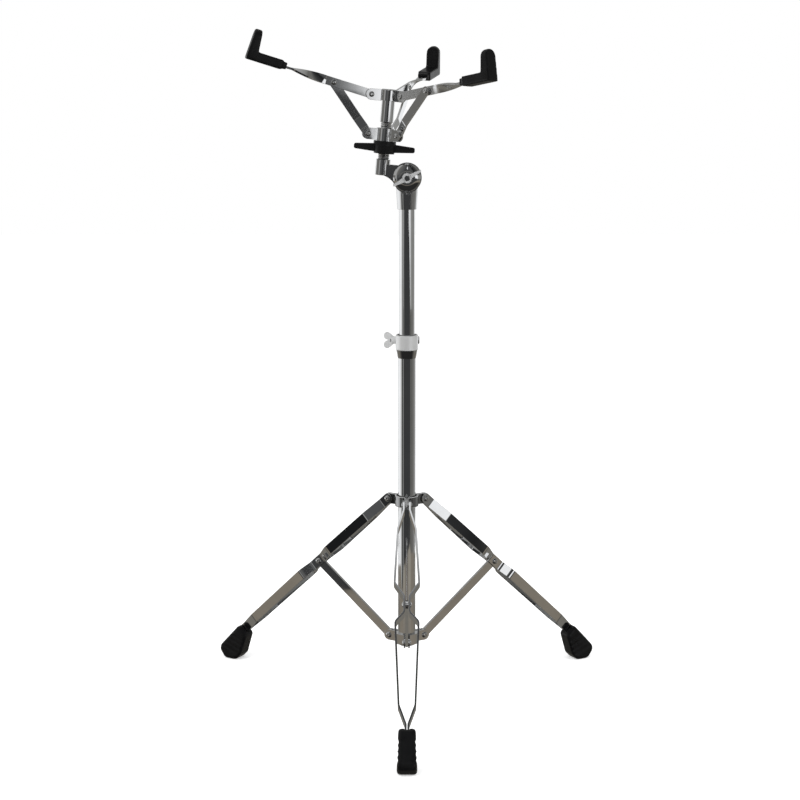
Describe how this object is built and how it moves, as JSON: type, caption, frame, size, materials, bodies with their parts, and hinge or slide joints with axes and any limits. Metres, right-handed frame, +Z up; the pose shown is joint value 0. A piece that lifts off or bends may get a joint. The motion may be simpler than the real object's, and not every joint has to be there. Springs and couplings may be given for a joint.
{
  "type": "snare drum stand",
  "caption": "Tall folding drum stand: double-braced tripod, telescopic chromed column, offset tilter and a three-armed basket that closes on a drum with a wing nut.",
  "frame": {"origin": "on the floor, on the axis of the column", "axes": "+Z up; +X to the right in the picture; -Y towards the viewer, along the front leg"},
  "size_m": [0.5796, 0.524, 0.9565],
  "materials": {
    "chromed_steel": "bright chrome plate on steel tube, strip and rivets",
    "chromed_casting": "bright chrome plate on die castings",
    "black_rubber": "matt black moulded rubber",
    "black_plastic": "satin black moulded plastic",
    "black_nylon": "black nylon bushes and plugs"
  },
  "bodies": {
    "base": {"lower_tube": "chromed_steel", "tube_end_plug": "black_nylon", "bracket_sleeve": "chromed_steel", "bracket_plate_right": "chromed_steel", "bracket_plate_back": "chromed_steel", "bracket_plate_left": "chromed_steel", "bracket_rivets": "chromed_steel", "height_clamp": "chromed_casting", "clamp_bush": "black_nylon", "clamp_bolt": "chromed_steel"},
    "clamp_nut": {"clamp_wing_nut": "chromed_casting"},
    "stay_front": {"stay_front": "chromed_steel"},
    "leg_front": {"leg_front_strip_a": "chromed_steel", "leg_front_strip_b": "chromed_steel", "leg_front_rivets": "chromed_steel", "foot_front": "black_rubber"},
    "stay_right": {"stay_right": "chromed_steel"},
    "leg_right": {"leg_right_strip_a": "chromed_steel", "leg_right_strip_b": "chromed_steel", "leg_right_rivets": "chromed_steel", "foot_right": "black_rubber"},
    "stay_left": {"stay_left": "chromed_steel"},
    "leg_left": {"leg_left_strip_a": "chromed_steel", "leg_left_strip_b": "chromed_steel", "leg_left_rivets": "chromed_steel", "foot_left": "black_rubber"},
    "leg_collar": {"collar_plate_right": "chromed_steel", "collar_plate_back": "chromed_steel", "collar_plate_left": "chromed_steel", "collar_liner": "black_nylon", "collar_boss": "chromed_steel"},
    "collar_screw": {"collar_wing_screw": "chromed_casting"},
    "guide": {"guide_ring": "black_nylon"},
    "upper_column": {"upper_tube": "chromed_steel", "upper_tube_plug": "black_nylon", "tilter_base": "chromed_casting", "tilter_bolt": "chromed_steel", "tilter_washer": "chromed_steel"},
    "tilter_nut": {"tilter_wing_nut": "chromed_casting"},
    "basket_frame": {"tilter_arm": "chromed_casting", "basket_rod": "chromed_steel", "basket_ring": "chromed_steel", "ring_rivets": "chromed_steel", "rod_cap": "chromed_steel"},
    "basket_slider": {"basket_collar": "chromed_steel", "strut_rivets": "chromed_steel"},
    "basket_nut": {"basket_wing_nut": "black_plastic"},
    "arm_back": {"arm_back": "chromed_steel", "arm_back_rivet": "chromed_steel", "tip_back": "black_rubber"},
    "strut_back": {"strut_back": "chromed_steel"},
    "arm_left": {"arm_left": "chromed_steel", "arm_left_rivet": "chromed_steel", "tip_left": "black_rubber"},
    "strut_left": {"strut_left": "chromed_steel"},
    "arm_right": {"arm_right": "chromed_steel", "arm_right_rivet": "chromed_steel", "tip_right": "black_rubber"},
    "strut_right": {"strut_right": "chromed_steel"}
  },
  "joints": [
    {"name": "leg_fold", "type": "hinge", "parent": "base", "child": "stay_front", "pos_m": [0, -0.0279, 0.0832], "axis": [-1, 0, 0], "range_deg": [0, 44]},
    {"name": "leg_front_hinge", "type": "hinge", "parent": "stay_front", "child": "leg_front", "pos_m": [0, -0.14972, 0.17823], "axis": [1, 0, 0], "range_deg": [-0.1, 84.06]},
    {"name": "leg_collar_hinge", "type": "hinge", "parent": "leg_front", "child": "leg_collar", "pos_m": [0, -0.02945, 0.28929], "axis": [-1, 0, 0], "range_deg": [-0.1, 40.06]},
    {"name": "stay_right_hinge", "type": "hinge", "parent": "base", "child": "stay_right", "pos_m": [0.02416, 0.01395, 0.0832], "axis": [0.5, -0.866, 0], "range_deg": [-0.1, 44.1]},
    {"name": "leg_right_hinge", "type": "hinge", "parent": "stay_right", "child": "leg_right", "pos_m": [0.12966, 0.07486, 0.17823], "axis": [-0.5, 0.866, 0], "range_deg": [-0.1, 84.06]},
    {"name": "stay_left_hinge", "type": "hinge", "parent": "base", "child": "stay_left", "pos_m": [-0.02416, 0.01395, 0.0832], "axis": [0.5, 0.866, 0], "range_deg": [-0.1, 44.1]},
    {"name": "leg_left_hinge", "type": "hinge", "parent": "stay_left", "child": "leg_left", "pos_m": [-0.12966, 0.07486, 0.17823], "axis": [-0.5, -0.866, 0], "range_deg": [-0.1, 84.06]},
    {"name": "collar_screw_turn", "type": "hinge", "parent": "leg_collar", "child": "collar_screw", "pos_m": [0, 0.024, 0.28929], "axis": [0, 1, 0], "continuous": true},
    {"name": "clamp_nut_turn", "type": "hinge", "parent": "base", "child": "clamp_nut", "pos_m": [-0.02, 0.01875, 0.5205], "axis": [1, 0, 0], "continuous": true},
    {"name": "height", "type": "slide", "parent": "base", "child": "guide", "axis": [0, 0, 1], "range_m": [-0.165, 0.1]},
    {"name": "column_swivel", "type": "hinge", "parent": "guide", "child": "upper_column", "pos_m": [0, 0, 0.4], "axis": [0, 0, 1], "continuous": true},
    {"name": "basket_tilt", "type": "hinge", "parent": "upper_column", "child": "basket_frame", "pos_m": [0, 0, 0.7535], "axis": [0, 1, 0], "range_deg": [-14, 85]},
    {"name": "tilter_nut_turn", "type": "hinge", "parent": "upper_column", "child": "tilter_nut", "pos_m": [0, -0.012, 0.7535], "axis": [0, 1, 0], "continuous": true},
    {"name": "basket_nut_turn", "type": "hinge", "parent": "basket_slider", "child": "basket_nut", "pos_m": [-0.03147, 0, 0.7954], "axis": [0.0872, 0, 0.9962], "range_deg": [-454, 2656]},
    {"name": "basket_slide", "type": "slide", "parent": "basket_frame", "child": "basket_slider", "axis": [0.0872, 0, 0.9962], "range_m": [-0.00388, 0.02223]},
    {"name": "arm_back_hinge", "type": "hinge", "parent": "basket_frame", "child": "arm_back", "pos_m": [-0.01746, 0.02374, 0.86545], "axis": [0.9458, -0.314, -0.0827], "range_deg": [-7.4, 42.8]},
    {"name": "strut_back_hinge", "type": "hinge", "parent": "arm_back", "child": "strut_back", "pos_m": [0.00031, 0.07457, 0.87562], "axis": [0.9458, -0.314, -0.0827], "range_deg": [-26.57, 4.63]},
    {"name": "arm_left_hinge", "type": "hinge", "parent": "basket_frame", "child": "arm_left", "pos_m": [-0.04967, -0.00507, 0.86827], "axis": [-0.202, 0.9792, 0.0177], "range_deg": [-7.4, 42.8]},
    {"name": "strut_left_hinge", "type": "hinge", "parent": "arm_left", "child": "strut_left", "pos_m": [-0.10088, -0.01593, 0.88447], "axis": [-0.202, 0.9792, 0.0177], "range_deg": [-26.57, 4.63]},
    {"name": "arm_right_hinge", "type": "hinge", "parent": "basket_frame", "child": "arm_right", "pos_m": [-0.00871, -0.01867, 0.86469], "axis": [-0.7438, -0.6652, 0.0651], "range_deg": [-7.4, 42.8]},
    {"name": "strut_right_hinge", "type": "hinge", "parent": "arm_right", "child": "strut_right", "pos_m": [0.02779, -0.05864, 0.87321], "axis": [-0.7438, -0.6652, 0.0651], "range_deg": [-26.57, 4.63]}
  ],
  "couplings": [
    {"joint": "leg_front_hinge", "follows": "leg_fold", "ratio": 1.9082},
    {"joint": "leg_collar_hinge", "follows": "leg_fold", "ratio": 0.9082},
    {"joint": "stay_right_hinge", "follows": "leg_fold", "ratio": 1},
    {"joint": "leg_right_hinge", "follows": "leg_fold", "ratio": 1.9082},
    {"joint": "stay_left_hinge", "follows": "leg_fold", "ratio": 1},
    {"joint": "leg_left_hinge", "follows": "leg_fold", "ratio": 1.9082},
    {"joint": "basket_slide", "follows": "basket_nut_turn", "m_per_rad": 0.00047746},
    {"joint": "arm_back_hinge", "follows": "basket_nut_turn", "ratio": 0.016076},
    {"joint": "strut_back_hinge", "follows": "basket_nut_turn", "ratio": -0.0099673},
    {"joint": "arm_left_hinge", "follows": "basket_nut_turn", "ratio": 0.016076},
    {"joint": "strut_left_hinge", "follows": "basket_nut_turn", "ratio": -0.0099673},
    {"joint": "arm_right_hinge", "follows": "basket_nut_turn", "ratio": 0.016076},
    {"joint": "strut_right_hinge", "follows": "basket_nut_turn", "ratio": -0.0099673}
  ]
}
